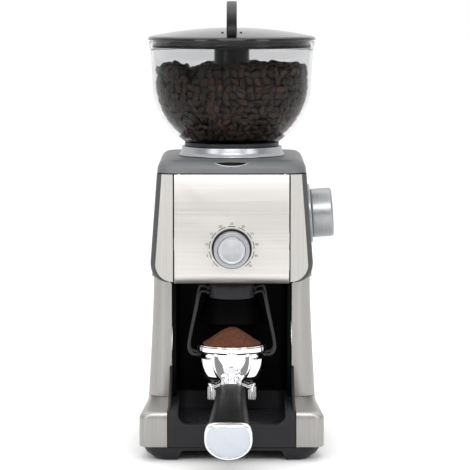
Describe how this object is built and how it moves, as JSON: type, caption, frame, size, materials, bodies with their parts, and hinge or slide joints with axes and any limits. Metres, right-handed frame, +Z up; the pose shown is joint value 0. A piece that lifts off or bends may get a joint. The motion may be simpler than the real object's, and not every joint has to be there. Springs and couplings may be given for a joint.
{
  "type": "coffee grinder",
  "caption": "Upright electric burr coffee grinder with a clear bean hopper, a front timer dial, a side grind knob and a portafilter in a wire cradle over a drip tray.",
  "frame": {"origin": "on the plane of the table, below the common axis of hopper and burrs", "axes": "+Z up, -Y towards the user in front of the machine, +X to the user's right"},
  "size_m": [0.1801, 0.3009, 0.416],
  "materials": {
    "brushed_steel": "brushed, warm light grey",
    "satin_metal": "fine satin",
    "chrome": "polished",
    "grey_plastic": "smooth, mid grey",
    "dark_cover": "fine grained, dark grey",
    "black_plastic": "fine grained, black",
    "gloss_black": "gloss, black",
    "clear_plastic": "clear, slightly smoky moulded plastic",
    "roasted_beans": "roasted coffee beans, with a slight oily sheen",
    "ground_coffee": "loose ground coffee, matte",
    "rubber": "matte",
    "hardened_steel": "machined",
    "nylon": "moulded, natural",
    "board": "fibreglass laminate, green"
  },
  "bodies": {
    "housing": {"base_plinth": "black_plastic", "underside_cover": "black_plastic", "rubber_foot_front_left": "rubber", "rubber_foot_front_right": "rubber", "rubber_foot_rear_left": "rubber", "rubber_foot_rear_right": "rubber", "foot_cover_left": "brushed_steel", "foot_cover_right": "brushed_steel", "leg_panel_left": "brushed_steel", "leg_panel_right": "brushed_steel", "side_strip_left": "brushed_steel", "side_strip_right": "brushed_steel", "back_cover": "black_plastic", "bay_liner": "black_plastic", "bay_side_left": "black_plastic", "bay_side_right": "black_plastic", "front_panel": "brushed_steel", "head_cover_left": "dark_cover", "head_cover_right": "dark_cover", "top_cover": "grey_plastic", "head_floor": "black_plastic", "collar": "satin_metal", "timer_switch": "black_plastic", "grind_escutcheon": "satin_metal", "grind_chamber": "grey_plastic", "gear_plate": "satin_metal", "bearing_lower": "hardened_steel", "bearing_upper": "hardened_steel", "motor": "satin_metal", "circuit_board": "board", "outlet_nozzle": "black_plastic", "cradle_wire_left": "hardened_steel", "cradle_wire_right": "hardened_steel"},
    "hopper": {"hopper": "clear_plastic", "hopper_neck": "black_plastic", "coffee_beans": "roasted_beans"},
    "gate": {"bean_gate": "black_plastic", "lock_spindle": "gloss_black"},
    "lid": {"lid": "gloss_black", "lid_seal": "rubber", "lid_handle": "black_plastic"},
    "timer_knob": {"timer_knob": "satin_metal"},
    "start_button": {"start_button": "satin_metal"},
    "grind_knob": {"grind_knob": "satin_metal", "grind_shaft": "hardened_steel"},
    "adjusting_ring": {"adjusting_ring": "hardened_steel", "burr_carrier": "hardened_steel", "ring_burr": "hardened_steel"},
    "burr_shaft": {"drive_shaft": "hardened_steel", "impeller": "nylon", "cone_burr": "hardened_steel"},
    "idler": {"idler_gear": "nylon"},
    "motor_rotor": {"motor_shaft": "hardened_steel"},
    "drip_tray": {"drip_tray": "black_plastic"},
    "portafilter": {"portafilter_body": "chrome", "filter_basket": "chrome", "coffee_grounds": "ground_coffee", "portafilter_spout": "chrome", "portafilter_grip": "black_plastic", "portafilter_end_cap": "chrome"}
  },
  "joints": [
    {"name": "hopper_lift", "type": "slide", "parent": "housing", "child": "hopper", "axis": [0, 0, 1], "range_m": [0, 0.08]},
    {"name": "gate_turn", "type": "hinge", "parent": "hopper", "child": "gate", "pos_m": [0, 0, 0.27], "axis": [0, 0, 1], "range_deg": [0, 90]},
    {"name": "lid_lift", "type": "slide", "parent": "hopper", "child": "lid", "axis": [0, 0, 1], "range_m": [0, 0.05]},
    {"name": "timer_turn", "type": "hinge", "parent": "housing", "child": "timer_knob", "pos_m": [0, -0.075, 0.1913], "axis": [0, -1, 0], "range_deg": [-133, 133]},
    {"name": "start_press", "type": "slide", "parent": "timer_knob", "child": "start_button", "axis": [0, 1, 0], "range_m": [0, 0.0015], "stiffness_N_per_m": 600},
    {"name": "grind_turn", "type": "hinge", "parent": "housing", "child": "grind_knob", "pos_m": [0.07176, 0, 0.217], "axis": [0.9976, 0, 0.0695], "range_deg": [-135, 135]},
    {"name": "ring_turn", "type": "hinge", "parent": "housing", "child": "adjusting_ring", "pos_m": [0, 0, 0.229], "axis": [0, 0, 1], "range_deg": [-30, 30]},
    {"name": "burr_spin", "type": "hinge", "parent": "housing", "child": "burr_shaft", "pos_m": [0, 0, 0.19], "axis": [0, 0, 1], "continuous": true},
    {"name": "idler_spin", "type": "hinge", "parent": "housing", "child": "idler", "pos_m": [0, 0.0264, 0.175], "axis": [0, 0, 1], "continuous": true},
    {"name": "motor_spin", "type": "hinge", "parent": "housing", "child": "motor_rotor", "pos_m": [0, 0.0516, 0.175], "axis": [0, 0, 1], "continuous": true},
    {"name": "tray_slide", "type": "slide", "parent": "housing", "child": "drip_tray", "axis": [0, -1, 0], "range_m": [0, 0.038]},
    {"name": "portafilter_slide", "type": "slide", "parent": "housing", "child": "portafilter", "axis": [0, -1, 0], "range_m": [0, 0.12]}
  ],
  "couplings": [
    {"joint": "ring_turn", "follows": "grind_turn", "ratio": -0.22222},
    {"joint": "idler_spin", "follows": "burr_spin", "ratio": -1.2},
    {"joint": "motor_spin", "follows": "burr_spin", "ratio": 3}
  ]
}
